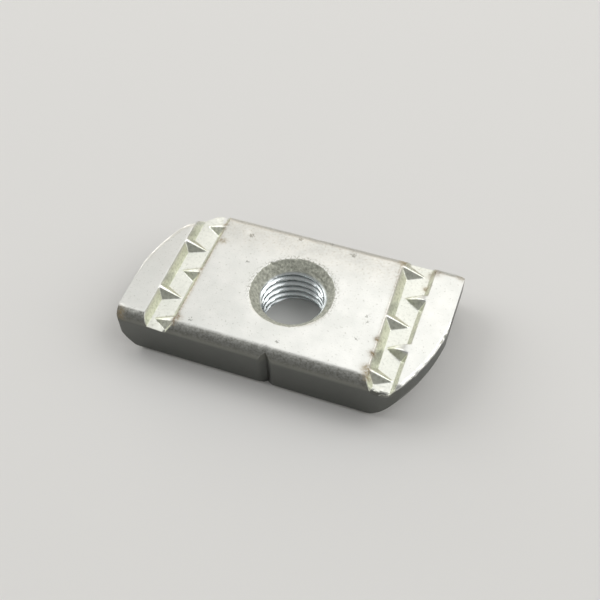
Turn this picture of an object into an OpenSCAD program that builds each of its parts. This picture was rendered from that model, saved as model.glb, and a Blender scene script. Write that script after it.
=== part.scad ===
// Channel nut: a plated steel slab that is turned into a slotted channel and pulled up by a bolt.
// X runs along the length, Y across, Z up. The origin is on the bore axis, on the flat underside.

/* [Body] */
// length over both ends
body_l = 35.5; // [34:0.5:38]
// width across the two long faces
body_w = 18; // [17.5:0.5:19.5]
// thickness
body_t = 6; // [5:0.5:8]

/* [Edges] */
// radius of the rolled upper long edges
roll_r = 1.6; // [1:0.1:1.8]
// radius of the lower long edges
heel_r = 0.6; // [0.4:0.1:1]

/* [Ends] */
// radius of the rounding under both ends
toe_r = 5; // [3.5:0.25:5.25]
// radius of the arc that cuts the left rear corner
arc_r_left = 17; // [16:0.5:18]
// radius of the arc that cuts the right front corner
arc_r_right = 20; // [18:0.5:22]
// distance of the left arc's centre from the long middle line
arc_off_left = 3.4; // [2.6:0.2:3.4]
// distance of the right arc's centre from the long middle line
arc_off_right = 2.6; // [2:0.2:3.4]
// radius where the left arc runs out into the rear face
shoulder_r_left = 1.6; // [1.2:0.2:2.4]
// radius where the right arc runs out into the front face
shoulder_r_right = 3.2; // [2:0.2:4]

/* [Grooves] */
// distance from the bore axis to a groove's inner upper edge
groove_in = 10.8; // [10.4:0.1:11.2]
// width of a groove at the top
groove_w = 3.7; // [3.3:0.1:4.1]
// depth of a groove
groove_d = 1.2; // [0.9:0.1:1.4]
// lean of the inner wall away from upright
lean_in = 36; // [28:1:40]
// lean of the outer wall away from upright
lean_out = 27; // [20:1:32]

/* [Teeth] */
// step from one tooth to the next along a groove
tooth_step = 3.65; // [3.3:0.05:3.8]
// half the width of a tooth at its foot
tooth_half = 1; // [0.7:0.1:1.3]
// width of the flat ridge on a tooth
ridge_w = 0.3; // [0.2:0.05:0.5]
// drop of a tooth's ridge below the top where it leaves its wall
ridge_drop = 0.05; // [0.05:0.05:0.3]
// gap between a tooth's tip and the foot of the wall across
tip_gap = 0.35; // [0.2:0.05:0.6]
// shift of each row of teeth along its groove
row_shift = 0.3; // [0:0.1:0.5]

/* [Bore] */
// inner diameter of the thread
bore_d = 7; // [5:0.1:8.5]
// diameter of the upper countersink at the top
sink_d = 9.3; // [9:0.1:10.5]
// diameter of the lower countersink at the underside
heel_sink_d = 7.4; // [7.2:0.1:8.4]

/* [Side notches] */
// width of the notch in the middle of each long face
notch_w = 1.6; // [1:0.1:2.4]
// depth of that notch
notch_d = 0.6; // [0.3:0.1:0.9]

/* [Hidden] */
$fn = 96;
// shallow angle at which a rounding enters the flat face beside it
entry = 8;
// angle at which the rounding under an end leaves the underside
exit = 30;
// how far a cutting shape reaches past the body
over = 2;
half_l = body_l / 2;
half_w = body_w / 2;
floor_z = body_t - groove_d;
foot_in = groove_in + groove_d * tan(lean_in);
groove_out = groove_in + groove_w;
foot_out = groove_out - groove_d * tan(lean_out);
sink_h = max((sink_d - bore_d) / 2, 0.3);
heel_sink_h = max((heel_sink_d - bore_d) / 2, 0.2);

// corner left over outside a rounding along X, with the edge at the origin and the body at -Y and -Z
module edge_waste(r) {
    c = r * cos(entry);
    rotate([90, 0, 90]) linear_extrude(body_l + 2 * over, center = true) difference() {
        translate([-c, -c]) square(c + over);
        translate([-c, -c]) circle(r);
    }
}

// waste outside an end in section, with the upright face at the given reach
module end_waste(reach) {
    centre = reach - toe_r * cos(entry);
    height = toe_r * cos(exit);
    difference() {
        translate([centre, -0.05 * toe_r]) square([toe_r + half_w, body_t + over]);
        translate([centre, height]) circle(toe_r);
        translate([centre - 1, height - toe_r * sin(entry)]) square([reach - centre + 1, body_t + 2 * over]);
    }
}

// waste outside the straight part of the right end
module end_cut() {
    rotate([90, 0, 0]) linear_extrude(body_w + 2 * over, center = true) end_waste(half_l);
}

// waste outside the arc that cuts the right front corner, and outside the run into the long face
module arc_cut(r, off, shoulder_r) {
    // how far the arc would stand out past the end
    stand = 0.15;
    centre = half_l + stand - r;
    c = shoulder_r * cos(entry);
    turn_y = c - half_w;
    turn_x = centre + sqrt(pow(r - c, 2) - pow(turn_y - off, 2));
    out = [turn_x - centre, turn_y - off] / (r - c);
    intersection() {
        translate([centre, off, 0]) rotate_extrude($fn = 180) end_waste(r);
        translate([centre, off - r - body_w, -over]) cube([r + body_w, r + body_w, body_t + 4 * over]);
    }
    translate([turn_x, turn_y, -over]) linear_extrude(body_t + 2 * over) difference() {
        polygon([[0, 0], [0, -half_w], half_w * out + [0, -half_w], half_w * out]);
        circle(shoulder_r);
    }
}

// one tooth: its ridge falls towards +X, from just below the wall's upper edge at the origin to the floor
module tooth(length, foot) {
    slope = (groove_d - ridge_drop) / length;
    spread = (tooth_half - ridge_w / 2) / (length - foot);
    // reach into the wall behind and below the floor
    back = -0.9;
    low = 0.5;
    tip = length + low / slope;
    high = -ridge_drop - back * slope;
    wide = ridge_w / 2 + spread * (tip - back);
    h = ridge_w / 2;
    polyhedron(
        points = [
            [tip, h, -groove_d - low],
            [tip, -h, -groove_d - low],
            [back, h, high],
            [back, -h, high],
            [back, wide, -groove_d - low],
            [back, -wide, -groove_d - low]
        ],
        faces = [[0, 1, 3, 2], [0, 2, 4], [1, 5, 3], [0, 4, 5, 1], [2, 3, 5, 4]]
    );
}

// the space of the right groove: a trough with leaning walls, less its teeth
module groove() {
    // reach above the top
    up = 0.8;
    inner = foot_out - tip_gap - groove_in;
    outer = groove_out - foot_in - tip_gap;
    difference() {
        rotate([90, 0, 0]) linear_extrude(body_w + 2 * over, center = true) polygon([
            [groove_in - up * tan(lean_in), body_t + up],
            [foot_in, floor_z],
            [foot_out, floor_z],
            [groove_out + up * tan(lean_out), body_t + up]
        ]);
        for (i = [-2 : 2 : 2])
            translate([groove_in, i * tooth_step + row_shift, body_t]) tooth(inner, foot_in - groove_in);
        for (i = [-1 : 2 : 1])
            translate([groove_out, i * tooth_step + row_shift, body_t])
                rotate([0, 0, 180]) tooth(outer, groove_out - foot_out);
    }
}

// the bore with its two countersinks
module bore() {
    translate([0, 0, -over]) cylinder(d = bore_d, h = body_t + 2 * over);
    translate([0, 0, body_t - sink_h]) cylinder(d1 = bore_d, d2 = bore_d + 4 * sink_h, h = 2 * sink_h);
    translate([0, 0, -heel_sink_h]) cylinder(d1 = bore_d + 4 * heel_sink_h, d2 = bore_d, h = 2 * heel_sink_h);
}

// the upright notch in the front long face
module notch() {
    wide = notch_w * (1 + 1 / notch_d) / 2;
    translate([0, -half_w, -over]) linear_extrude(body_t + 2 * over)
        polygon([[-wide, -1], [wide, -1], [0, notch_d]]);
}

module channel_nut() {
    color([0.78, 0.79, 0.78]) difference() {
        translate([-half_l, -half_w, 0]) cube([body_l, body_w, body_t]);
        for (a = [0, 180]) rotate([0, 0, a]) {
            translate([0, half_w, body_t]) edge_waste(roll_r);
            translate([0, half_w, 0]) mirror([0, 0, 1]) edge_waste(heel_r);
            end_cut();
            groove();
            notch();
        }
        arc_cut(arc_r_right, arc_off_right, shoulder_r_right);
        rotate([0, 0, 180]) arc_cut(arc_r_left, arc_off_left, shoulder_r_left);
        bore();
    }
}

channel_nut();
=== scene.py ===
import math

import bmesh
import bpy
import numpy as np
from mathutils import Matrix, Vector


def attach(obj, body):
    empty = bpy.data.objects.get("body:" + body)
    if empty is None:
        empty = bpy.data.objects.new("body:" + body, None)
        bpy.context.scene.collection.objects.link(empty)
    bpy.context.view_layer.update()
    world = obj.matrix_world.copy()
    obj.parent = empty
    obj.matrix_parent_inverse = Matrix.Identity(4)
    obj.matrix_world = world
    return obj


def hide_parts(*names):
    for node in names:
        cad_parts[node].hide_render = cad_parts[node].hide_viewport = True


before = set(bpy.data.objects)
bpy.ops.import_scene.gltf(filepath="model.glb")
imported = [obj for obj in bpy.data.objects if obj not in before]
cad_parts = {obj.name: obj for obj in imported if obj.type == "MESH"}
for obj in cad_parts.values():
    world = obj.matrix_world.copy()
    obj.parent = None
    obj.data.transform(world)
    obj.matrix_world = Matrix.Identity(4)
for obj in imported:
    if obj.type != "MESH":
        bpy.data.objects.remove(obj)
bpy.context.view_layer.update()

MM = 0.001

# sizes of the body in millimetres, in the frame of the solid

# length, width and thickness
LENGTH, WIDTH, THICK = 35.5, 18.0, 6.0
HALF_L, HALF_W = LENGTH / 2, WIDTH / 2
# radii of the rolled upper edges, of the lower edges and of the rounding under the ends
ROLL_R, HEEL_R, TOE_R = 1.6, 0.6, 5.0
# angle at which a rounding enters the flat beside it, and at which one under an end leaves the underside
ENTRY, EXIT = math.radians(8), math.radians(30)
# share of the radius at which the rounding under an end stops, just short of upright
TOE_END = 0.999
# where the rolled front edge begins to fade out at the tip of the right land, and over what length
TIP_FROM, TIP_FADE = 13.8, 0.6
# how far an arc would stand out past its end of the nut
ARC_STAND = 0.15
# radius of an arc, distance of its centre from the middle line, and radius of its run into the long face
ARC_RIGHT, ARC_LEFT = (20.0, 2.6, 3.2), (17.0, 3.4, 1.6)
# how far the square corners at the front left and at the rear right are knocked back
KNOCK_FRONT, KNOCK_REAR = 0.4, 1.0
# half width and depth of the notch in each long face
NOTCH_HALF, NOTCH_D = 0.8, 0.6

# sizes of the toothed grooves

# distance of a groove's inner and outer upper edge from the bore axis, and its depth
GROOVE_IN, GROOVE_OUT, GROOVE_D = 10.8, 14.5, 1.2
# lean of its inner and outer wall, as sideways run over height
LEAN_IN, LEAN_OUT = math.tan(math.radians(36)), math.tan(math.radians(27))
FOOT_IN, FOOT_OUT = GROOVE_IN + GROOVE_D * LEAN_IN, GROOVE_OUT - GROOVE_D * LEAN_OUT
FLOOR_MIDDLE = (FOOT_IN + FOOT_OUT) / 2
# step from tooth to tooth, and shift of the whole row along its groove
TOOTH_STEP, ROW_SHIFT = 3.65, 0.3
# half width of a tooth at its foot and at its tip, and gap between its tip and the wall across
TOOTH_HALF, TIP_HALF, TIP_GAP = 1.0, 0.05, 0.35
# each tooth, from front to rear on the right and from rear to front on the left: half width of its ridge
# where it leaves its wall, how much the ridge bows up (1 is straight), and its shift along the groove
TEETH_RIGHT = (
    (0.12, 1.0, 0.0), (0.58, 2.0, 0.2), (0.12, 1.0, 0.0), (0.33, 1.5, 0.0), (0.12, 1.0, 0.0),
)
TEETH_LEFT = (
    (0.28, 1.0, 0.0), (0.18, 1.0, 0.0), (0.28, 1.0, 0.0), (0.18, 1.0, 0.0), (0.28, 1.0, 0.0),
)
# drift of a groove's inner wall along X for each millimetre along the groove
SKEW_RIGHT, SKEW_LEFT = -0.033, 0.012
# fall of a groove's floor towards its inner wall, as a slope
TILT_RIGHT, TILT_LEFT = 0.0, 0.06
# rounding of a groove's upper edges, as a height
WEAR_RIGHT, WEAR_LEFT = 0.01, 0.05

# sizes of the bore

# radius of the upper and of the lower countersink, and how far the upper one's rim is worn outwards
SINK_R, HEEL_SINK_R, RIM_WEAR = 4.65, 3.7, 0.15
# radius inside the thread, its depth and its pitch
THREAD_R, THREAD_DEEP, THREAD_PITCH = 3.5, 0.5, 1.0
SINK_H = SINK_R - THREAD_R
# half the flat at the thread's root, and where the flat on its crest begins, as shares of the pitch
ROOT_FLAT, CREST_FLAT = 1 / 16, 3 / 8
# nicks in the upper rim: depth, angle round the bore, and half width as an angle
NICKS = ((0.22, 2.43, 0.035), (0.1, 2.68, 0.05))
# raggedness of that rim: height, grain size and seed, and the depth over which it fades out
RAGS, RAG_FADE = ((0.03, 0.9, 31), (0.035, 0.35, 32)), 0.45
# chatter of the cutter below it: height, grain size and seed, and the depth over which it comes in
CHATTER, CHATTER_FADE = (0.02, 0.3, 33), 0.2

# wear

# bands over which creases are rounded: beside a tooth's ridge, at its foot, where a groove runs out through
# a rolled edge, and at the bore's mouths
RIDGE_SOFT, FOOT_SOFT, RUNOUT_SOFT, MOUTH_SOFT = 0.05, 0.03, 0.08, 0.05
# worn corners, and the worn rear end of the left land: plan place, depth and reach
WORN_CORNERS = ((-HALF_L, -HALF_W, 0.4, 1.5), (HALF_L, HALF_W, 0.3, 1.3))
WORN_LAND = (-14.6, 7.0, 0.32, 1.8)
# broken lip at the right groove's front mouth: distance from the middle line, X from and to, fade and depth
LIP_Y, LIP_FROM, LIP_TO, LIP_FADE, LIP_DEEP = 8.45, 11.3, 14.0, 0.5, 0.35
# dents: plan place, depth and square of the reach
DENTS = ((-7.5, 6.7, 0.05, 0.1), (4.2, 7.4, 0.05, 0.08))
# waviness of the top: height, grain size and seed
WAVES = ((0.006, 2.2, 21), (0.004, 0.9, 22))
# pebbles on the rolled edges: height, grain size and seed, and the drop over which they come in
PEBBLES, PEBBLE_FADE = (0.02, 0.4, 23), 0.1
# sheared upper edge of an arc: height of its burr, how far it is drawn down, and depth of its bites
SHEAR_RIGHT, SHEAR_LEFT = (0.1, 0.06, 0.22), (0.05, 0.1, 0.0)
# how far in from the edge the burr, the bites and the drawn strip reach
BURR_IN, BITE_IN, DRAWN_IN = 0.16, 0.3, 0.5
# distance from the middle line past which the strip is drawn deeper, and the width over which it doubles
DRAWN_MORE = (5.0, 2.5)
# distance in from the long face at which an arc's edge begins, and the width over which it comes in
ARC_BEGIN = (0.25, 0.5)
# length over which an outline's slope is taken, to each side
SLOPE_STEP = 0.02
# ragged patches: grain size, seed, level, gain and shift of the lattice
BURR_PATCHES = (0.55, 11, 0.45, 0.8, 40)
BITE_PATCHES = (0.5, 12, -0.375, 2.5, 40)
LIP_PATCHES = (0.45, 24, 0.55, 0.9, 50)
# points to a side of the lattice behind a random field
LATTICE = 64

# layout of the mesh

# half side of the square of cells round the bore, and its cells along a side
SQUARE, CELLS = 5.5, 48
# where the middle sheet ends and where the fine end sheets begin, and fine cells for each plain one
SEAM, FINE_FROM, FINE = 10.0, 10.15, 3
# stations close beside a groove's two upper edges, and where the closing-up towards the end begins
INNER_LIP, OUTER_LIP, TAIL_FROM = 10.5, 14.8, 17.3
# cells of a fine sheet between its knots, and stations of its tail
SHEET_CELLS, TAIL_STATIONS = (3, 4, 11, 24, 9, 3, 15), 9
# stations from the square to the seam, from the square to the rolled edge, and round the rolled edge
WING_STATIONS, SHELF_STATIONS, ROLL_STATIONS = 16, 9, 12
# where the stations before the rolled edge end
SHELF_TO = 7.5
# how far from a long face the stations bend with its notch
NOTCH_REACH = 3.0
# rows down a side, down the countersink and down the rest of the bore, and rings round its two mouths
SIDE_ROWS, SINK_ROWS, BORE_ROWS, TOP_RINGS, UNDER_RINGS = 13, 15, 66, 9, 6
# points closer than this many metres are joined
JOIN = 1e-7
# slack when a station is compared with a border
SLACK = 1e-9
# faces that meet at more than this angle keep a sharp edge between them
SHARP = math.radians(48)


# number fields

def soft_min(a, b, band):
    """Smaller of two fields, with the crease between them rounded over a band."""
    t = np.clip(0.5 + 0.5 * (b - a) / band, 0, 1)
    return b * (1 - t) + a * t - band * t * (1 - t)


def soft_max(a, b, band):
    """Larger of two fields, with the crease between them rounded over a band."""
    return -soft_min(-a, -b, band)


def ease(t):
    """Cubic step from 0 to 1 as t goes from 0 to 1."""
    t = np.clip(t, 0, 1)
    return t * t * (3 - 2 * t)


def rise(value, start, width):
    """Cubic step from 0 to 1 as a value goes from a start over a width."""
    return ease((value - start) / width)


def fall(value, width):
    """Straight fall from 1 to 0 as a value goes from 0 over a width."""
    return np.clip(1 - value / width, 0, 1)


def grain(u, v, size, seed, shift=50):
    """Random field from -1 to 1: values on a square lattice of the given pitch, blended by the cubic
    step. The shift moves the lattice against the nut."""
    lattice = np.random.default_rng(seed).uniform(-1, 1, (LATTICE, LATTICE))
    a, b = np.broadcast_arrays((u + shift) / size, (v + shift) / size)
    i, j = np.floor(a).astype(int), np.floor(b).astype(int)
    s, t = ease(a - i), ease(b - j)
    i0, i1, j0, j1 = i % LATTICE, (i + 1) % LATTICE, j % LATTICE, (j + 1) % LATTICE
    near = lattice[i0, j0] * (1 - s) + lattice[i1, j0] * s
    far = lattice[i0, j1] * (1 - s) + lattice[i1, j1] * s
    return near * (1 - t) + far * t


def patches(u, v, size, seed, level, gain, shift):
    """Ragged patches from 0 to 1: the cubic step of a level plus a gain times the random field."""
    return ease(level + gain * grain(u, v, size, seed, shift))


# outline in plan

def arc_side(u, radius, off, shoulder):
    """Y of the long side at the end with a cut corner: the straight side, then a small round, then the
    arc."""
    centre = HALF_L + ARC_STAND - radius
    c = shoulder * math.cos(ENTRY)
    turn_y = c - HALF_W
    turn_x = centre + math.sqrt((radius - c) ** 2 - (turn_y - off) ** 2)
    reach = shoulder * (turn_x - centre) / (radius - c)
    arc = off - np.sqrt(np.clip(radius ** 2 - (u - centre) ** 2, 0, None))
    arc = np.where(u > centre, arc, -HALF_W)
    turn = turn_y - np.sqrt(np.clip(shoulder ** 2 - (u - turn_x) ** 2, 0, None))
    turn = np.where((u > turn_x) & (u < turn_x + reach), turn, -HALF_W)
    return np.maximum(np.maximum(arc, turn), -HALF_W)


def square_side(u, knock):
    """Y of the long side at the end with a square corner, which is knocked back by the square of the
    distance."""
    return -HALF_W + knock * np.clip((u - HALF_L) / knock + 1, 0, None) ** 2


def notch_dip(x):
    """Depth of the V notch in the middle of a long face: a straight-sided dip."""
    return NOTCH_D * fall(np.abs(x), NOTCH_HALF)


def front_side(x):
    """Y of the front outline: square corner on the left, cut corner on the right, notch in the middle."""
    return np.where(x > 0, arc_side(x, *ARC_RIGHT), square_side(-x, KNOCK_FRONT)) + notch_dip(x)


def rear_side(x):
    """Y of the rear outline: the front one turned half round, with the left end's own arc."""
    return -np.where(x < 0, arc_side(-x, *ARC_LEFT), square_side(x, KNOCK_REAR)) - notch_dip(x)


# heights

def tooth_depth(along, across, length, foot, wide, bow):
    """Depth of one tooth below the top: its ridge falls away from the wall by a power of the distance and
    narrows to the tip, and its flanks fall away from the ridge to both sides."""
    half = TIP_HALF + (wide - TIP_HALF) * fall(along, length)
    at_foot = TIP_HALF + (wide - TIP_HALF) * (1 - foot / length)
    flank = GROOVE_D * (1 - foot / length) / (TOOTH_HALF - at_foot)
    ridge = GROOVE_D * np.where(along > 0, np.abs(along / length) ** bow, along / length)
    return ridge + flank * soft_max(np.abs(across) - half, np.zeros_like(half), RIDGE_SOFT)


def groove_feet(tilt):
    """Distances from the bore axis at which a tilted floor meets the inner and the outer wall."""
    inner = (GROOVE_IN / LEAN_IN + GROOVE_D + tilt * FLOOR_MIDDLE) / (1 / LEAN_IN + tilt)
    outer = (GROOVE_OUT / LEAN_OUT - GROOVE_D - tilt * FLOOR_MIDDLE) / (1 / LEAN_OUT - tilt)
    return inner, outer


def groove_depth(u, v, teeth, skew, tilt, wear):
    """Depth of a toothed groove: a trough with leaning walls, filled where a tooth stands higher. Teeth
    leave the inner and the outer wall by turns."""
    inner = GROOVE_IN + skew * v
    from_inner, from_outer = u - inner, GROOVE_OUT - u
    depth = np.minimum(from_inner / LEAN_IN, from_outer / LEAN_OUT)
    depth = np.minimum(depth, GROOVE_D + tilt * (FLOOR_MIDDLE - u))
    at_inner = (FOOT_OUT - TIP_GAP - GROOVE_IN, FOOT_IN - GROOVE_IN)
    at_outer = (GROOVE_OUT - FOOT_IN - TIP_GAP, GROOVE_OUT - FOOT_OUT)
    for i, (wide, bow, shift) in zip(range(-2, 3), teeth):
        across = v - (i * TOOTH_STEP + ROW_SHIFT + shift)
        along, (length, foot) = (from_inner, at_inner) if i % 2 == 0 else (from_outer, at_outer)
        depth = soft_min(depth, tooth_depth(along, across, length, foot, wide, bow), FOOT_SOFT)
    return soft_max(depth, np.zeros_like(depth), wear)


def both_grooves(x, y):
    """Depth of the right groove, and of the left one turned half round."""
    right = groove_depth(np.abs(x), y, TEETH_RIGHT, SKEW_RIGHT, TILT_RIGHT, WEAR_RIGHT)
    left = groove_depth(np.abs(x), -y, TEETH_LEFT, SKEW_LEFT, TILT_LEFT, WEAR_LEFT)
    return np.where(x > 0, right, left)


def edge_drop(y, radius):
    """How far a rounded long edge lies below the flat beside it: a circle that enters the flat at a
    shallow angle."""
    c = radius * math.cos(ENTRY)
    d = np.abs(y) - (HALF_W - c)
    arc = c - np.sqrt(np.clip(radius ** 2 - np.clip(d, 0, radius) ** 2, 0, None))
    return np.where(d > 0, np.maximum(arc, 0), 0)


def roll_drop(x, y):
    """How far the rolled upper edges lie below the top: the rounded edge, fading out at the right land's
    tip."""
    return edge_drop(y, ROLL_R) * (1 - rise(x, TIP_FROM, TIP_FADE) * (y < 0))


def arc_edge(x, y):
    """Height added along the upper edges of the two arcs, by the distance in from the edge: a ragged burr
    that falls off as a bell, less bites that fall off straight, and less the strip that the shears drew
    down, which falls off as a square and is deeper towards the long faces."""
    edge = 0
    for side, sign, (burr, drawn, bitten) in ((front_side, 1, SHEAR_RIGHT), (rear_side, -1, SHEAR_LEFT)):
        slope = (side(x + SLOPE_STEP) - side(x - SLOPE_STEP)) / (2 * SLOPE_STEP)
        away = np.abs(y - side(x)) / np.sqrt(1 + slope ** 2)
        on_arc = rise(HALF_W - np.abs(side(x)), *ARC_BEGIN) * (sign * x > SEAM)
        lip = burr * patches(x, y, *BURR_PATCHES) * np.exp(-(away / BURR_IN) ** 2)
        bites = bitten * patches(x, y, *BITE_PATCHES) * fall(away, BITE_IN)
        strip = drawn * (1 + rise(np.abs(y), *DRAWN_MORE)) * fall(away, DRAWN_IN) ** 2
        edge = edge + on_arc * (lip - bites - strip)
    return edge


def worn_patch(x, y, at_x, at_y, deep, reach):
    """Depth of a worn place: full in its middle and none at its reach, by the cubic step."""
    return deep * ease(1 - np.hypot(x - at_x, y - at_y) / reach)


def broken_lip(x, y):
    """Depth broken off the right groove's front mouth: ragged patches on a strip that fades in at its
    borders."""
    strip = rise(-y, LIP_Y, LIP_FADE) * rise(x, LIP_FROM, LIP_FADE) * ease((LIP_TO - x) / LIP_FADE)
    return LIP_DEEP * strip * patches(x, y, *LIP_PATCHES)


def top_height(x, y):
    """Height of the upper skin: the thickness, less the rolled edges or grooves, whichever is deeper,
    less the worn places and bell-shaped dents, plus the arcs' edges outside the grooves, the waviness,
    and pebbles on the rolled edges."""
    groove, roll = both_grooves(x, y), roll_drop(x, y)
    land = 1 - np.clip(groove / GROOVE_D, 0, 1)
    worn = sum(worn_patch(x, y, *corner) for corner in WORN_CORNERS)
    worn = worn + worn_patch(x, y, *WORN_LAND) * land + broken_lip(x, y)
    dents = sum(deep * np.exp(-np.hypot(x - a, y - b) ** 2 / reach) for a, b, deep, reach in DENTS)
    wave = sum(height * grain(x, y, size, seed) for height, size, seed in WAVES)
    height, size, seed = PEBBLES
    pebbles = height * grain(x, y, size, seed) * ease(roll / PEBBLE_FADE)
    drop = soft_max(groove, roll, RUNOUT_SOFT) + worn + dents
    return THICK - drop + arc_edge(x, y) * land + wave + pebbles


def toe_rise(beyond):
    """Rise of the underside near an end: a circle that leaves the flat at an angle and turns almost
    upright."""
    d = np.clip(beyond, 0, TOE_R * TOE_END)
    return np.where(beyond > 0, TOE_R * math.cos(EXIT) - np.sqrt(TOE_R ** 2 - d ** 2), 0)


def under_height(x, y):
    """Height of the lower skin: flat, raised by the rounding under the ends and arcs and along the long
    edges, whichever is higher."""
    inset = TOE_R * math.cos(ENTRY)
    raised = np.maximum(toe_rise(np.abs(x) - (HALF_L - inset)), edge_drop(y, HEEL_R))
    for arc, sign in ((ARC_RIGHT, 1), (ARC_LEFT, -1)):
        radius, off = arc[:2]
        u, v = sign * x, sign * y
        centre = HALF_L + ARC_STAND - radius
        ring = toe_rise(np.hypot(u - centre, v - off) - (radius - inset))
        raised = np.maximum(raised, np.where((u > centre) & (v < off), ring, 0))
    return np.maximum(raised, 0)


def sink_rags(angle):
    """How far the countersink's upper rim stands out past its worn circle: bell-shaped nicks and
    raggedness."""
    x, y = SINK_R * np.cos(angle), SINK_R * np.sin(angle)
    nicks = sum(deep * np.exp(-((angle - at) / half) ** 2) for deep, at, half in NICKS)
    return nicks + sum(height * grain(x, y, size, seed) for height, size, seed in RAGS)


def bore_radius(angle, z):
    """Radius of the bore wall: a helical V thread with flat roots and crests, opened by a right-angled
    countersink at each mouth, the upper one with a ragged rim and the cutter's chatter."""
    turn = z / THREAD_PITCH - angle / (2 * math.pi)
    phase = np.abs(turn - np.round(turn))
    thread = THREAD_R + THREAD_DEEP * fall(phase - ROOT_FLAT, CREST_FLAT - ROOT_FLAT)
    below = THICK - z
    height, size, seed = CHATTER
    chatter = height * grain(SINK_R * np.cos(angle), SINK_R * np.sin(angle) + z, size, seed)
    rim = SINK_R + RIM_WEAR + sink_rags(angle) * ease(1 - below / RAG_FADE)
    upper = rim - below + chatter * ease(below / CHATTER_FADE)
    lower = HEEL_SINK_R - z
    return soft_max(soft_max(thread, upper, MOUTH_SOFT), lower, MOUTH_SOFT)


# stations and grids

def half_stations(tilt):
    """X stations of a fine sheet: even between knots, which are closest at the groove's walls, and
    closing up by a square towards the end."""
    knots = [FINE_FROM, INNER_LIP, GROOVE_IN, *groove_feet(tilt), GROOVE_OUT, OUTER_LIP, TAIL_FROM]
    runs = [np.linspace(a, b, n + 1)[:-1] for a, b, n in zip(knots, knots[1:], SHEET_CELLS)]
    tail = HALF_L - (HALF_L - TAIL_FROM) * (1 - np.linspace(0, 1, TAIL_STATIONS)) ** 2
    return np.concatenate(runs + [tail])


def middle_stations():
    """X stations of the middle sheet: even cells over the square round the bore, with the notch's own
    three."""
    near = np.linspace(-SQUARE, -NOTCH_HALF, CELLS // 2 - 1)
    square = np.concatenate([near, [-NOTCH_HALF / 2, 0, NOTCH_HALF / 2], -near[::-1]])
    wing = np.linspace(SQUARE, SEAM, WING_STATIONS)[1:]
    return np.concatenate([-wing[::-1], square, wing])


def cross_stations():
    """Y stations from front to rear at full width: even over the square and up to the rolled edge, then
    by equal angles round it."""
    angle = np.linspace(ENTRY, math.pi / 2 - ENTRY, ROLL_STATIONS)
    roll = HALF_W - ROLL_R * math.cos(ENTRY) + ROLL_R * np.sin(angle)
    shelf = np.linspace(SQUARE, SHELF_TO, SHELF_STATIONS)[1:]
    side = np.concatenate([shelf, roll])
    return np.concatenate([-side[::-1], np.linspace(-SQUARE, SQUARE, CELLS + 1), side])


def spread(x, t):
    """Y of each cross station at each x: shared out between the two outlines at the ends, and moved only
    near a notch in the middle."""
    x, t = (x[:, None] if x.ndim == 1 else x), t[None, :]
    front, rear = front_side(x) + HALF_W, rear_side(x) - HALF_W
    share = (HALF_W - t) / WIDTH
    near_front, near_rear = ease(1 - (t + HALF_W) / NOTCH_REACH), ease(1 - (HALF_W - t) / NOTCH_REACH)
    ends = t + front * share + rear * (1 - share)
    middle = t + front * near_front + rear * near_rear
    return np.where(np.abs(x) > SEAM, ends, middle)


def drifted(x, y):
    """X of stations moved along with a groove's inner wall: all the way at the wall, fading to none
    beside it."""
    amount = np.interp(np.abs(x), [FINE_FROM, GROOVE_IN, FOOT_IN, FOOT_OUT - TIP_GAP], [0, 1, 1, 0])
    return x + amount * y * np.where(x > 0, SKEW_RIGHT, SKEW_LEFT)


def on_skin(x, y, height):
    """Points of a skin over plan places x, y."""
    return np.stack([x, y, height(x, y)], -1)


def over_bore(x, t):
    """Which cells between stations lie in the square round the bore, by the middles of their sides."""
    in_x, in_y = np.abs(x[:-1] + x[1:]) < 2 * SQUARE, np.abs(t[:-1] + t[1:]) < 2 * SQUARE
    return in_x[:, None] & in_y[None, :]


def comb(plain, fine):
    """Faces between a plain row of points and a fine one: each has a plain cell and the fine cells across
    it."""
    cells = len(plain) - 1
    across = [fine[FINE - k:][::FINE][:cells] for k in range(FINE + 1)]
    return np.stack([plain[:-1], plain[1:], *across], -1)


def square_ring():
    """Walk round the square's cells, counter-clockwise from the right-hand corner at the front."""
    xs = middle_stations()
    xs = xs[np.abs(xs) < SQUARE + SLACK]
    ys = np.linspace(-SQUARE, SQUARE, CELLS + 1)
    up, along = np.full(len(ys) - 1, SQUARE), np.full(len(xs) - 1, SQUARE)
    x = np.concatenate([up, xs[:0:-1], -up, xs[:-1]])
    y = np.concatenate([ys[:-1], along, ys[:0:-1], -along])
    return x, y


class Skin:
    """Collects grids of points and their faces until they are joined into one mesh."""

    def __init__(self):
        self.points, self.faces, self.zones, self.count = [], [], [], 0

    def lay(self, points, closed=False, keep=None, zone=0):
        """Adds a grid of points and the four-sided faces between neighbours, or only those to keep. A
        closed grid's last column is joined to its first."""
        n, m = points.shape[:2]
        index = self.count + np.arange(n * m).reshape(n, m)
        self.points.append(points.reshape(-1, 3))
        self.count += n * m
        if closed:
            index = np.concatenate([index, index[:, :1]], 1)
        quads = np.stack([index[:-1, :-1], index[1:, :-1], index[1:, 1:], index[:-1, 1:]], -1)
        self.add(quads.reshape(-1, 4) if keep is None else quads[keep], zone)
        return index

    def add(self, faces, zone=0):
        """Adds faces given as rows of point numbers. The zone is the number of their finish."""
        self.faces += np.asarray(faces).tolist()
        self.zones += [zone] * len(faces)

    def build(self, name):
        """Joins touching points, turns all faces outwards and returns the closed mesh."""
        mesh = bpy.data.meshes.new(name)
        mesh.from_pydata((np.concatenate(self.points) * MM).tolist(), [], self.faces)
        mesh.polygons.foreach_set("material_index", self.zones)
        work = bmesh.new()
        work.from_mesh(mesh)
        bmesh.ops.remove_doubles(work, verts=work.verts, dist=JOIN)
        bmesh.ops.recalc_face_normals(work, faces=work.faces)
        work.to_mesh(mesh)
        work.free()
        return mesh


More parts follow.
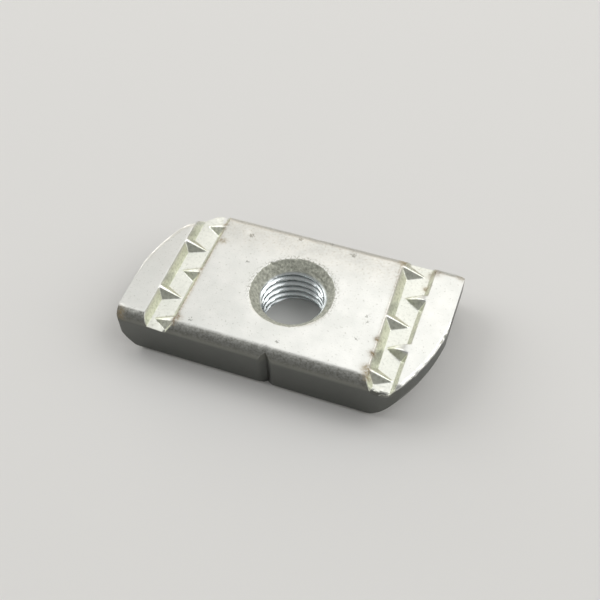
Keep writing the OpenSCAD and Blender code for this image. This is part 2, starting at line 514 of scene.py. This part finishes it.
def lay_top(skin, middle, ends, t):
    """Upper skin: a plain sheet in the middle, open at the square round the bore, and a fine sheet at
    each end, joined to it by a comb. Returns the outermost row of each fine sheet."""
    y = spread(middle, t)
    x = np.broadcast_to(middle[:, None], y.shape)
    plain = skin.lay(on_skin(x, y, top_height), keep=~over_bore(middle, t))
    fine = np.interp(np.arange((len(t) - 1) * FINE + 1) / FINE, np.arange(len(t)), t)
    rims = {}
    for sign, row in ((1, -1), (-1, 0)):
        x = drifted(ends[sign][:, None], spread(ends[sign], fine))
        points = on_skin(x, spread(x, fine), top_height)
        sheet = skin.lay(points)
        skin.add(comb(plain[row], sheet[0]))
        rims[sign] = points[-1]
    return rims


def lay_under(skin, every, t):
    """Lower skin: one plain sheet, open at the square round the bore. Returns its points."""
    y = spread(every, t)
    x = np.broadcast_to(every[:, None], y.shape)
    low = on_skin(x, y, under_height)
    skin.lay(low, keep=~over_bore(every, t))
    return low


def lay_sides(skin, every, rims, low):
    """Upright sides: straight from the upper edge down to the lower one, with rows closest at both edges.
    A fine upper edge at an end is joined to its side by a comb."""
    share = ease(np.linspace(0, 1, SIDE_ROWS))[None, :, None]
    for side, column in ((front_side, 0), (rear_side, -1)):
        x = drifted(every, side(every))
        upper = on_skin(x, side(x), top_height)[:, None]
        skin.lay(upper * (1 - share) + low[:, column][:, None] * share)
    for sign, row in ((1, -1), (-1, 0)):
        wall = rims[sign][::FINE][:, None] * (1 - share) + low[row][:, None] * share
        below = skin.lay(wall[:, 1:])[:, 0]
        rim = skin.lay(rims[sign][:, None])[:, 0]
        skin.add(comb(below, rim))


def lay_bore(skin):
    """Bore wall from the top down, and the rings that join its two mouths to the square openings in the
    skins."""
    x, y = square_ring()
    angle = np.arctan2(y, x)
    sink = np.linspace(0, SINK_H, SINK_ROWS)[:-1]
    z = THICK - np.concatenate([sink, np.linspace(SINK_H, THICK, BORE_ROWS)])[:, None]
    radius = bore_radius(angle[None, :], z)
    wall = np.stack([radius * np.cos(angle), radius * np.sin(angle), z + 0 * radius], -1)
    wall[0, :, 2] = top_height(wall[0, :, 0], wall[0, :, 1])
    skin.lay(wall, closed=True, zone=1)
    for row, height, rings in ((0, top_height, TOP_RINGS), (-1, under_height, UNDER_RINGS)):
        out = np.linspace(0, 1, rings)[:, None]
        ring_x = wall[row, :, 0] * (1 - out) + x * out
        ring_y = wall[row, :, 1] * (1 - out) + y * out
        skin.lay(on_skin(ring_x, ring_y, height), closed=True)


def nut_mesh():
    """The whole nut: upper and lower skins, the four upright sides between them, and the threaded
    bore."""
    skin = Skin()
    middle, t = middle_stations(), cross_stations()
    ends = {1: half_stations(TILT_RIGHT), -1: -half_stations(TILT_LEFT)}
    every = np.concatenate([ends[-1][::-1], middle, ends[1]])
    rims = lay_top(skin, middle, ends, t)
    low = lay_under(skin, every, t)
    lay_sides(skin, every, rims, low)
    lay_bore(skin)
    return skin.build("channel_nut_skin")


# marks carried by the points

# a pair gives where a mark starts and the width over which it becomes full
# by a groove's depth in millimetres, and by how much deeper it is than the rolled edge
IN_GROOVE, UNDER_ROLL = (0.02, 0.06), (-0.1, 0.2)
# by the drop of a rolled edge in millimetres: where the edge starts, and where its dust and painted shade
# end
IN_ROLL, DUST_AND_SHADE_END = (0.005, 0.08), (0.8, 0.6)
# by how upright the skin is, from 0 to 1, below and above the groove floors' level, for the sides' painted
# shade
LOW_SIDE, HIGH_SIDE = (0.1, 0.4), (0.45, 0.4)
# by the depth below an arc's upper edge in millimetres, for the painted shade that darkens down an arc's
# wall
ARC_SIDE = (0.1, 0.3)
# by Y in millimetres: where the faint tan towards the rear begins, and where the frayed strip round the
# countersink begins
REAR_TAN_Y, FRAY_Y = (2.5, 5.0), (-4.5, 4.0)
# how far below the groove floors' level a point still counts as above it
FLOOR_SLACK = 0.06
# share of the groove's mark on a flat floor, and shares of the depth and of upright at which it is full
FLOOR_LEAST, DEPTH_FULL, LEAN_FULL = 0.45, 1 / 3, 1 / 3
# share of the rolled edge's dust and painted shade at the rear, which is left lighter
REAR_ROLL = 0.15
# a side lies at least this far below the top
SIDE_TOP = 0.35
# and also below the groove floors with this slack, or this close to a long face, or this far past a groove
FLOOR_OVER, LONG_NEAR, END_PAST = 0.02, 1.0, 0.2
# share of the sides' painted shade where a rolled edge begins, and drop at which the edge takes all of it
ROLL_LEAST, ROLL_FULL = 0.1, 1.3
# distance from the outline within which a point lies on a side wall, and width over which an arc's wall
# begins
WALL_NEAR, ARC_FADE = 0.01, 0.4
# brown line along the left groove's inner edge: strength, half width and distance into the groove
LEFT_LINE = (0.8, 0.3, 0.2)
# brown line along the right groove's inner edge: strength and half width
RIGHT_LINE = (0.3, 0.2)
# distance from the middle line at which both lines end
LINE_END = 8.4
# strength of the brown spots, and of the faint tan towards the rear
SPOT_SHARE, REAR_TAN_SHARE = 0.9, 0.2
# width of the frayed strip round the countersink, and how deep it reaches
FRAY_OUT, FRAY_DEEP = 0.8, 0.1
# plan place and size in millimetres of each brown spot
RUST_SPOTS = (
    (-10.3, 4.5, 0.4), (10.85, -3.1, 0.36), (10.9, -5.0, 0.4), (14.4, 8.0, 0.7), (-17.4, -8.5, 0.6),
    (13.85, 6.0, 0.35), (17.4, 8.1, 0.5), (10.8, -7.0, 0.5), (11.2, -7.8, 0.5), (-10.6, -7.3, 0.4),
    (10.6, 8.3, 0.6),
)


def groove_mark(x, y, above):
    """Share of a groove at a point above the floors' level: by the groove's depth there, and by how far
    it lies below the rolled edge."""
    groove = both_grooves(x, y)
    return rise(groove, *IN_GROOVE) * rise(groove - roll_drop(x, y), *UNDER_ROLL) * above


def roll_mark(x, y, z, in_groove):
    """Share of a rolled edge's dust and painted shade at a point: by the edge's drop there, outside the
    grooves, and faint at the rear."""
    facing = np.where(y > 0, REAR_ROLL, 1.0)
    return rise(roll_drop(x, y), *IN_ROLL) * (z > THICK - ROLL_R) * (1 - in_groove) * facing


def side_shade_mark(x, y, z, upright, in_groove, rolled):
    """Share of the painted shade on a sheared side at a point: dark grey by how upright the skin is,
    outside the bore and the grooves. A rolled edge takes more of this painted shade the further it drops,
    so it darkens towards the bottom. On an arc's wall the depth below the upper edge decides, darker
    further down."""
    floors = THICK - GROOVE_D
    outer = (z < floors + FLOOR_OVER) | (np.abs(y) > HALF_W - LONG_NEAR)
    outer = outer | (np.abs(x) > GROOVE_OUT + END_PAST)
    side = np.where(z < floors, rise(upright, *LOW_SIDE), rise(upright, *HIGH_SIDE))
    side = side * outer * (np.hypot(x, y) > SQUARE) * (z < THICK - SIDE_TOP)
    edge = rolled * (ROLL_LEAST + (1 - ROLL_LEAST) * ease(roll_drop(x, y) / ROLL_FULL))
    side = np.maximum(side * (1 - in_groove), edge)
    on_wall = np.minimum(np.abs(y - front_side(x)), np.abs(y - rear_side(x))) < WALL_NEAR
    on_arc = on_wall * (np.abs(x) > SEAM) * ease((HALF_W - np.abs(y)) / ARC_FADE)
    return side * (1 - on_arc) + rise(top_height(x, y) - z, *ARC_SIDE) * on_arc


def rust_mark(x, y, above):
    """Share of rust at a point above the floors' level: bell-shaped spots, bell-shaped lines along the
    grooves' inner edges, and a faint tan that grows towards the rear."""
    spots = sum(np.exp(-((x - a) ** 2 + (y - b) ** 2) / size ** 2) for a, b, size in RUST_SPOTS)
    left, left_half, into = LEFT_LINE
    right, right_half = RIGHT_LINE
    lines = left * np.exp(-((x + GROOVE_IN + into) / left_half) ** 2)
    lines = lines + right * np.exp(-((x - GROOVE_IN - SKEW_RIGHT * y) / right_half) ** 2)
    rear_tan = REAR_TAN_SHARE * rise(y, *REAR_TAN_Y) * (np.abs(x) < GROOVE_IN)
    return np.clip(SPOT_SHARE * spots + lines * (np.abs(y) < LINE_END) + rear_tan, 0, 1) * above


def fray_mark(x, y, z):
    """Share of the frayed strip at a point: by the distance outside the countersink's rim, fading to the
    front."""
    out = np.hypot(x, y) - SINK_R - RIM_WEAR
    return ease(1 - out / FRAY_OUT) * rise(y, *FRAY_Y) * (z > THICK - FRAY_DEEP)


def mark_points(mesh):
    """Stores on each point how much it belongs to a rolled edge with dust and painted shade, a groove, the
    painted shade of a sheared side, a rusty place or the frayed strip round the countersink."""
    place, normal = np.empty((2, len(mesh.vertices) * 3), np.float32)
    mesh.vertices.foreach_get("co", place)
    mesh.vertex_normals.foreach_get("vector", normal)
    x, y, z = place.reshape(-1, 3).T.astype(float) / MM
    upright = 1 - np.abs(normal.reshape(-1, 3)[:, 2])
    above = z > THICK - GROOVE_D - FLOOR_SLACK
    depth = np.clip(THICK - z, 0, GROOVE_D) / GROOVE_D
    in_groove = groove_mark(x, y, above)
    rolled = roll_mark(x, y, z, in_groove)
    leaning = FLOOR_LEAST + (1 - FLOOR_LEAST) * ease(upright / LEAN_FULL)
    marks = {
        # the rolled mark carries dust and painted shade, and the side mark carries painted shade
        "rolled": rolled * (1 - rise(roll_drop(x, y), *DUST_AND_SHADE_END)),
        "groove": in_groove * ease(depth / DEPTH_FULL) * leaning,
        "side": side_shade_mark(x, y, z, upright, in_groove, rolled),
        "rusty": rust_mark(x, y, above),
        "frayed": fray_mark(x, y, z),
    }
    for name, value in marks.items():
        mesh.attributes.new(name, "FLOAT", "POINT").data.foreach_set("value", value.astype(np.float32))


# materials

# colours on the zinc: the plating and its clouds, what lies on it, and two tones of the grooves and of
# rust.
# The side colour is painted shade, and the dust colour is dust that also paints shade
ZINC_TONES = {
    "cloud": "#E4E5E0", "plate": "#EDEDE8", "speck": "#9C9C8E", "pit": "#5C5A4C", "fray": "#8E8E80",
    "groove": "#ECEEDE", "groove_shade": "#CFD2C0", "side": "#50524E", "roll_dust_and_shade": "#7C7C74",
    "rust": "#75603F", "rust_pale": "#AE9E7A",
}
# patterns on the zinc: size of a cell in millimetres, detail and roughness. The plating's own crystals and
# the grit of the dust are finer than this, and are drawn as coarse as they need to show.
ZINC_GRAIN = {
    "cloud": (2.4, 5.0, 0.6), "pebble": (0.24, 3.0, 0.65),
    "speck": (0.3, 3.0, 0.55), "fine": (0.2, 2.0, 0.55),
}
# what the patterns give: the pattern, the low and the high value it is read between, and the amount at each
ZINC_AMOUNTS = {
    "cloudy": ("cloud", 0.35, 0.65, 0.0, 1.0), "specked": ("speck", 0.6, 0.72, 0.0, 0.4),
    "fraying": ("pebble", 0.5, 0.6, 0.0, 0.8), "mottled": ("speck", 0.44, 0.66, 0.0, 1.0),
    # the dust amount never falls below 0.45, so besides its speckle it lays painted shade over the whole
    # rolled edge
    "dust_and_shade_amount": ("pebble", 0.34, 0.66, 0.9, 0.45), "rusting": ("speck", 0.3, 0.6, 0.25, 1.0),
    "satin": ("cloud", 0.3, 0.7, 0.36, 0.3),
}
# strength of the colour in the grooves and of the painted shade on the sheared sides
GROOVE_TINT, SIDE_SHADE_TINT = 0.85, 0.92
# roughness added by the dust and by rust, and how metallic full rust is
DUST_ROUGH, RUST_ROUGH, RUST_METAL = 0.12, 0.3, 0.3
# share of the pebbles on the rolled edges and of the fine grain in the relief
PEBBLE_RELIEF, FINE_RELIEF = 0.6, 0.22
# strength and full height in millimetres of the relief's bump
ZINC_BUMP, ZINC_BUMP_MM = 0.6, 0.08
# plan place and size in millimetres of each dark pit on the top
PITS = (
    (8.7, -3.81, 0.16), (8.94, -0.52, 0.18), (9.2, -1.3, 0.13), (1.99, 8.2, 0.24), (-6.38, 2.49, 0.13),
    (-1.71, 7.58, 0.26), (0.81, -6.9, 0.18), (-7.4, 6.3, 0.3), (4.9, 7.2, 0.3), (-9.28, -7.14, 0.16),
)
# how far the fine grain can push a pit's outline in millimetres, and about how far it does on average
PIT_RAG, PIT_RAG_IN = 1.4, 0.68
# where a pit is darkest and where it ends, as shares of its size, and its darkness
PIT_FROM, PIT_TO, PIT_DARK = 0.4, 1.2, 0.55

# colours of the bare steel: two tones of the thread and the painted shade in its roots, two of the film and
# its specks
STEEL_TONES = {
    "thread": "#E0E8EA", "thread_bright": "#F6FAFA", "root": "#2E3839",
    "film": "#AAABA0", "film_pale": "#E8E9DE", "film_speck": "#6C6C62",
}
# patterns on the steel: size of a cell in millimetres, detail and roughness. The cutter's chatter is drawn
# as coarse as it needs to show.
STEEL_GRAIN = {"smear": (0.32, 4.0, 0.6), "chatter": (0.16, 2.0, 0.55)}
# depth below the top in millimetres at which the film ends and at which it is full
FILM_END, FILM_FULL = 1.2, 1.0
# distance out from the crests in millimetres at which the painted shade in a root begins and is full, and
# its darkness
ROOT_FROM, ROOT_TO, ROOT_SHADE_DARK = 0.1, 0.42, 0.9
# Y in millimetres over which the roots' painted shade grows from its least share to full towards the rear,
# and that share
REAR_SHADE_FROM, REAR_SHADE_TO, REAR_SHADE_LEAST = 1.0, 3.0, 0.08
# roughness of the thread and of the film
THREAD_ROUGH, FILM_ROUGH = 0.27, 0.78
# strength and full height in millimetres of the chatter's bump
CHATTER_BUMP, CHATTER_BUMP_MM = 0.8, 0.06

# node settings: two values multiplied, two values multiplied and a third added, and two colours mixed
PRODUCT = {"operation": "MULTIPLY", "use_clamp": True}
ADDED = {"operation": "MULTIPLY_ADD", "use_clamp": True}
COLOURS = {"data_type": "RGBA"}


def linear(code):
    """Linear colour of an sRGB hex value."""
    parts = [int(code[i:i + 2], 16) / 255 for i in (1, 3, 5)]
    return tuple(c / 12.92 if c <= 0.04045 else ((c + 0.055) / 1.055) ** 2.4 for c in parts) + (1.0,)


def per_mm(size):
    """Texture scale at which one pattern cell is this many millimetres."""
    return 1 / (size * MM)


def add_node(tree, kind, inputs=None, result=None, **settings):
    """Adds a node with its settings. Each input is a value, or a socket to link from. Returns the output
    that is named, or else the first one in use."""
    node = tree.nodes.new("ShaderNode" + kind)
    for name, value in settings.items():
        setattr(node, name, value)
    for name, value in (inputs or {}).items():
        socket = node.inputs[name]
        if isinstance(value, bpy.types.NodeSocket):
            tree.links.new(value, socket)
        else:
            socket.default_value = value
    return node.outputs[result] if result else next((s for s in node.outputs if s.enabled), None)


def new_material(name):
    """An empty node material and its tree."""
    material = bpy.data.materials.new(name)
    material.use_nodes = True
    material.node_tree.nodes.clear()
    return material, material.node_tree


def pit_mask(tree, place, ragged):
    """Dark flecks at the pits' places on the top: the distance from each, frayed by the fine grain, read
    between two shares of its size."""
    mask = 0.0
    for x, y, size in PITS:
        centre = (x * MM, y * MM, THICK * MM)
        away = add_node(tree, "VectorMath", {0: place, 1: centre}, "Value", operation="DISTANCE")
        away = add_node(tree, "Math", {0: ragged, 1: PIT_RAG * MM, 2: away}, **ADDED)
        dark = {"From Min": (size * PIT_FROM + PIT_RAG_IN) * MM, "To Min": PIT_DARK}
        clear = {"From Max": (size * PIT_TO + PIT_RAG_IN) * MM, "To Max": 0.0}
        pit = add_node(tree, "MapRange", {"Value": away, **dark, **clear})
        mask = add_node(tree, "Math", {0: pit, 1: mask}, operation="MAXIMUM")
    return mask


def zinc_material():
    """Bright zinc plating on rolled steel: a pale satin metal with faint clouds and a few dark pits,
    greenish where the bath lingered in the grooves, dusty, pebbled and darkened by painted shade on the
    rolled edges, a dark grey painted shade on the sheared sides, frayed round the countersink, and tan
    where the plating has failed."""
    material, tree = new_material("zinc_plated_rolled_steel")
    tone = {name: linear(code) for name, code in ZINC_TONES.items()}
    place = add_node(tree, "TexCoord", result="Object")
    mark = {}
    for name in ("rolled", "groove", "side", "rusty", "frayed"):
        mark[name] = add_node(tree, "Attribute", result="Fac", attribute_name=name)
    pattern = {}
    for name, (size, detail, rough) in ZINC_GRAIN.items():
        cells = {"Scale": per_mm(size), "Detail": detail, "Roughness": rough}
        pattern[name] = add_node(tree, "TexNoise", {"Vector": place, **cells})
    amount = {}
    for name, (source, low, high, at_low, at_high) in ZINC_AMOUNTS.items():
        span = {"From Min": low, "From Max": high, "To Min": at_low, "To Max": at_high}
        amount[name] = add_node(tree, "MapRange", {"Value": pattern[source], **span})
    fray = add_node(tree, "Math", {0: amount["fraying"], 1: mark["frayed"]}, **PRODUCT)
    grooves = add_node(tree, "Math", {0: mark["groove"], 1: GROOVE_TINT}, **PRODUCT)
    side_shade = add_node(tree, "Math", {0: mark["side"], 1: SIDE_SHADE_TINT}, **PRODUCT)
    roll_dust_and_shade = add_node(tree, "Math", {0: amount["dust_and_shade_amount"], 1: mark["rolled"]}, **PRODUCT)
    rust = add_node(tree, "Math", {0: amount["rusting"], 1: mark["rusty"]}, **PRODUCT)
    mottle = {"Factor": amount["mottled"], "A": tone["groove"], "B": tone["groove_shade"]}
    brown = {"Factor": amount["cloudy"], "A": tone["rust"], "B": tone["rust_pale"]}
    # from the bare plating to what lies on top of it
    layers = (
        (amount["cloudy"], tone["plate"]),
        (amount["specked"], tone["speck"]),
        (pit_mask(tree, place, pattern["fine"]), tone["pit"]),
        (fray, tone["fray"]),
        (grooves, add_node(tree, "Mix", mottle, **COLOURS)),
        # painted shade: dark grey over the sheared sides, the lower rolled edges and the arc walls
        (side_shade, tone["side"]),
        # dust speckle, and painted shade over the front rolled edge
        (roll_dust_and_shade, tone["roll_dust_and_shade"]),
        (rust, add_node(tree, "Mix", brown, **COLOURS)),
    )
    colour = tone["cloud"]
    for share, over in layers:
        colour = add_node(tree, "Mix", {"Factor": share, "A": colour, "B": over}, **COLOURS)
    metal = add_node(tree, "MapRange", {"Value": rust, "To Min": 1.0, "To Max": RUST_METAL})
    rough = add_node(tree, "Math", {0: mark["rolled"], 1: DUST_ROUGH, 2: amount["satin"]}, **ADDED)
    rough = add_node(tree, "Math", {0: rust, 1: RUST_ROUGH, 2: rough}, **ADDED)
    relief = add_node(tree, "Math", {0: mark["rolled"], 1: PEBBLE_RELIEF}, **PRODUCT)
    relief = add_node(tree, "Math", {0: pattern["pebble"], 1: relief}, **PRODUCT)
    relief = add_node(tree, "Math", {0: pattern["fine"], 1: FINE_RELIEF, 2: relief}, **ADDED)
    bump = {"Height": relief, "Strength": ZINC_BUMP, "Distance": ZINC_BUMP_MM * MM}
    shader = add_node(tree, "BsdfPrincipled", {
        "Base Color": colour, "Metallic": metal, "Roughness": rough, "Normal": add_node(tree, "Bump", bump),
    })
    add_node(tree, "OutputMaterial", {"Surface": shader})
    return material


def thread_material():
    """Steel tapped and countersunk after plating: bright and bluish in the thread, with painted shade in
    the roots that grows darker towards the rear, and a dull grey film with the cutter's chatter on the
    countersink."""
    material, tree = new_material("tapped_bare_steel")
    tone = {name: linear(code) for name, code in STEEL_TONES.items()}
    place = add_node(tree, "TexCoord", result="Object")
    axes = add_node(tree, "SeparateXYZ", {"Vector": place}).node.outputs
    flat = add_node(tree, "CombineXYZ", {"X": axes["X"], "Y": axes["Y"]})
    out = add_node(tree, "VectorMath", {0: flat}, "Value", operation="LENGTH")
    pattern = {}
    for name, (size, detail, rough) in STEEL_GRAIN.items():
        cells = {"Scale": per_mm(size), "Detail": detail, "Roughness": rough}
        pattern[name] = add_node(tree, "TexNoise", {"Vector": place, **cells})
    # what gives each amount, the low and the high value it is read between, and the amount at each
    spans = {
        "film": (axes["Z"], (THICK - FILM_END) * MM, (THICK - FILM_FULL) * MM, 0.0, 1.0),
        "root": (out, (THREAD_R + ROOT_FROM) * MM, (THREAD_R + ROOT_TO) * MM, 0.0, ROOT_SHADE_DARK),
        "rear_shade": (axes["Y"], REAR_SHADE_FROM * MM, REAR_SHADE_TO * MM, REAR_SHADE_LEAST, 1.0),
        "smeared": (pattern["smear"], 0.3, 0.7, 0.0, 1.0),
        "specked": (pattern["chatter"], 0.55, 0.68, 0.0, 0.55),
    }
    amount = {}
    for name, (source, low, high, at_low, at_high) in spans.items():
        span = {"From Min": low, "From Max": high, "To Min": at_low, "To Max": at_high}
        amount[name] = add_node(tree, "MapRange", {"Value": source, **span})
    film = amount["film"]
    # painted shade in the thread's roots, darker towards the rear
    root = add_node(tree, "Math", {0: amount["root"], 1: amount["rear_shade"]}, **PRODUCT)
    # the thread's colour, the film's colour, and one over the other
    steel = {"Factor": pattern["smear"], "A": tone["thread"], "B": tone["thread_bright"]}
    steel = add_node(tree, "Mix", steel, **COLOURS)
    # the roots' painted shade over the thread's colour
    steel = add_node(tree, "Mix", {"Factor": root, "A": steel, "B": tone["root"]}, **COLOURS)
    grey = {"Factor": amount["smeared"], "A": tone["film"], "B": tone["film_pale"]}
    grey = add_node(tree, "Mix", grey, **COLOURS)
    specks = {"Factor": amount["specked"], "A": grey, "B": tone["film_speck"]}
    grey = add_node(tree, "Mix", specks, **COLOURS)
    colour = add_node(tree, "Mix", {"Factor": film, "A": steel, "B": grey}, **COLOURS)
    rough = add_node(tree, "MapRange", {"Value": film, "To Min": THREAD_ROUGH, "To Max": FILM_ROUGH})
    relief = add_node(tree, "Math", {0: pattern["chatter"], 1: film}, **PRODUCT)
    bump = {"Height": relief, "Strength": CHATTER_BUMP, "Distance": CHATTER_BUMP_MM * MM}
    shader = add_node(tree, "BsdfPrincipled", {
        "Base Color": colour, "Metallic": 1.0, "Roughness": rough, "Normal": add_node(tree, "Bump", bump),
    })
    add_node(tree, "OutputMaterial", {"Surface": shader})
    return material


def floor_material():
    """Matt pale board: an even, faintly warm white that takes a soft shadow."""
    material, tree = new_material("matt_pale_board")
    board = {"Base Color": linear("#E2E1DE"), "Roughness": 0.9, "Specular IOR Level": 0.2}
    add_node(tree, "OutputMaterial", {"Surface": add_node(tree, "BsdfPrincipled", board)})
    return material


# the piece

def make_nut():
    """Builds the nut's skin, marks it, gives it its finishes and puts it in place of the plain solid."""
    mesh = nut_mesh()
    mark_points(mesh)
    mesh.materials.append(zinc_material())
    mesh.materials.append(thread_material())
    mesh.polygons.foreach_set("use_smooth", [True] * len(mesh.polygons))
    mesh.set_sharp_from_angle(angle=SHARP)
    nut = bpy.data.objects.new("nut_skin", mesh)
    bpy.context.scene.collection.objects.link(nut)
    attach(nut, "root")
    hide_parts("channel_nut")


# the stage

# half side of the board that is the floor, and how far it lies under the nut, in metres
BOARD_HALF, BOARD_BELOW = 1.5, 0.00001
# distance of the light panels in metres, and brightness of the even surround
PANEL_AWAY, SURROUND = 0.8, 0.28
# each light panel: its turn from the rear towards the right and its height as angles in degrees, its width
# and height in metres, how bright it is to look at, and its colour
PANELS = {
    "rear_panel": (14, 59, (0.85, 0.5), 1.0, "#FFFFFF"),
    "low_rear_panel": (-8, 28, (1.3, 0.42), 0.5, "#FFF4E2"),
    "right_panel": (68, 42, (0.8, 0.8), 1.45, "#FFFFFF"),
    "left_panel": (-85, 40, (0.6, 0.6), 2.0, "#FFFFFF"),
    "left_rear_panel": (-45, 12, (0.5, 0.25), 1.4, "#FFFFFF"),
}
# width of the picture in pixels, width of the sensor in millimetres, and where the view begins in metres
PICTURE, SENSOR, VIEW_FROM = 600, 36.0, 0.005
# fitted camera: focal length in pixels, distance and aim in millimetres, and its three angles
FOCAL, AWAY = 911.57, 108.6272
TURN, RAISED, ROLL = np.radians([21.9973, 52.6348, -2.649])
AIM = np.array([-0.4856, 3.4286, 0.0])


def make_floor():
    """A wide flat board just under the nut."""
    side = np.array([-BOARD_HALF, BOARD_HALF])
    x, y = np.meshgrid(side, side)
    points = np.stack([x, y, 0 * x - BOARD_BELOW], -1).reshape(-1, 3)
    mesh = bpy.data.meshes.new("board")
    mesh.from_pydata(points.tolist(), [], [(0, 1, 3, 2)])
    mesh.materials.append(floor_material())
    board = bpy.data.objects.new("board", mesh)
    bpy.context.scene.collection.objects.link(board)


def add_panel(name, turn, raised, size, radiance, colour):
    """A soft light panel that faces the nut, placed by its two angles at the panels' distance."""
    turn, raised = math.radians(turn), math.radians(raised)
    level = math.cos(raised)
    place = Vector((math.sin(turn) * level, math.cos(turn) * level, math.sin(raised))) * PANEL_AWAY
    data = bpy.data.lights.new(name, "AREA")
    data.shape = "RECTANGLE"
    data.size, data.size_y = size
    data.energy = math.pi * size[0] * size[1] * radiance
    data.color = linear(colour)[:3]
    lamp = bpy.data.objects.new(name, data)
    bpy.context.scene.collection.objects.link(lamp)
    lamp.location = place
    lamp.rotation_euler = (-place).to_track_quat("-Z", "Y").to_euler()


def light_scene():
    """A bright panel behind that the top mirrors, a lower one under it, one at each side, a low one at
    the left rear, and a dim even surround."""
    for name, panel in PANELS.items():
        add_panel(name, *panel)
    world = bpy.data.worlds.new("surround")
    bpy.context.scene.world = world
    world.use_nodes = True
    backdrop = world.node_tree.nodes["Background"]
    backdrop.inputs["Color"].default_value = linear("#FFFFFF")
    backdrop.inputs["Strength"].default_value = SURROUND


def place_camera():
    """Camera fitted to the photograph's edges: turned, raised and rolled by the fitted angles round its
    aim."""
    right = np.array([math.cos(TURN), math.sin(TURN), 0])
    level = math.cos(RAISED)
    ahead = np.array([-math.sin(TURN) * level, math.cos(TURN) * level, -math.sin(RAISED)])
    up = np.cross(right, ahead)
    across = math.cos(ROLL) * right + math.sin(ROLL) * up
    upward = math.cos(ROLL) * up - math.sin(ROLL) * right
    axes = Matrix(np.stack([across, upward, -ahead], 1).tolist()).to_4x4()
    camera = bpy.data.objects.new("camera", bpy.data.cameras.new("camera"))
    bpy.context.scene.collection.objects.link(camera)
    camera.data.sensor_width = SENSOR
    camera.data.lens = FOCAL / PICTURE * SENSOR
    camera.data.clip_start = VIEW_FROM
    camera.matrix_world = Matrix.Translation((AIM - ahead * AWAY) * MM) @ axes
    bpy.context.scene.camera = camera


make_nut()
make_floor()
light_scene()
place_camera()
bpy.context.scene.view_settings.view_transform = "Standard"
bpy.context.view_layer.update()
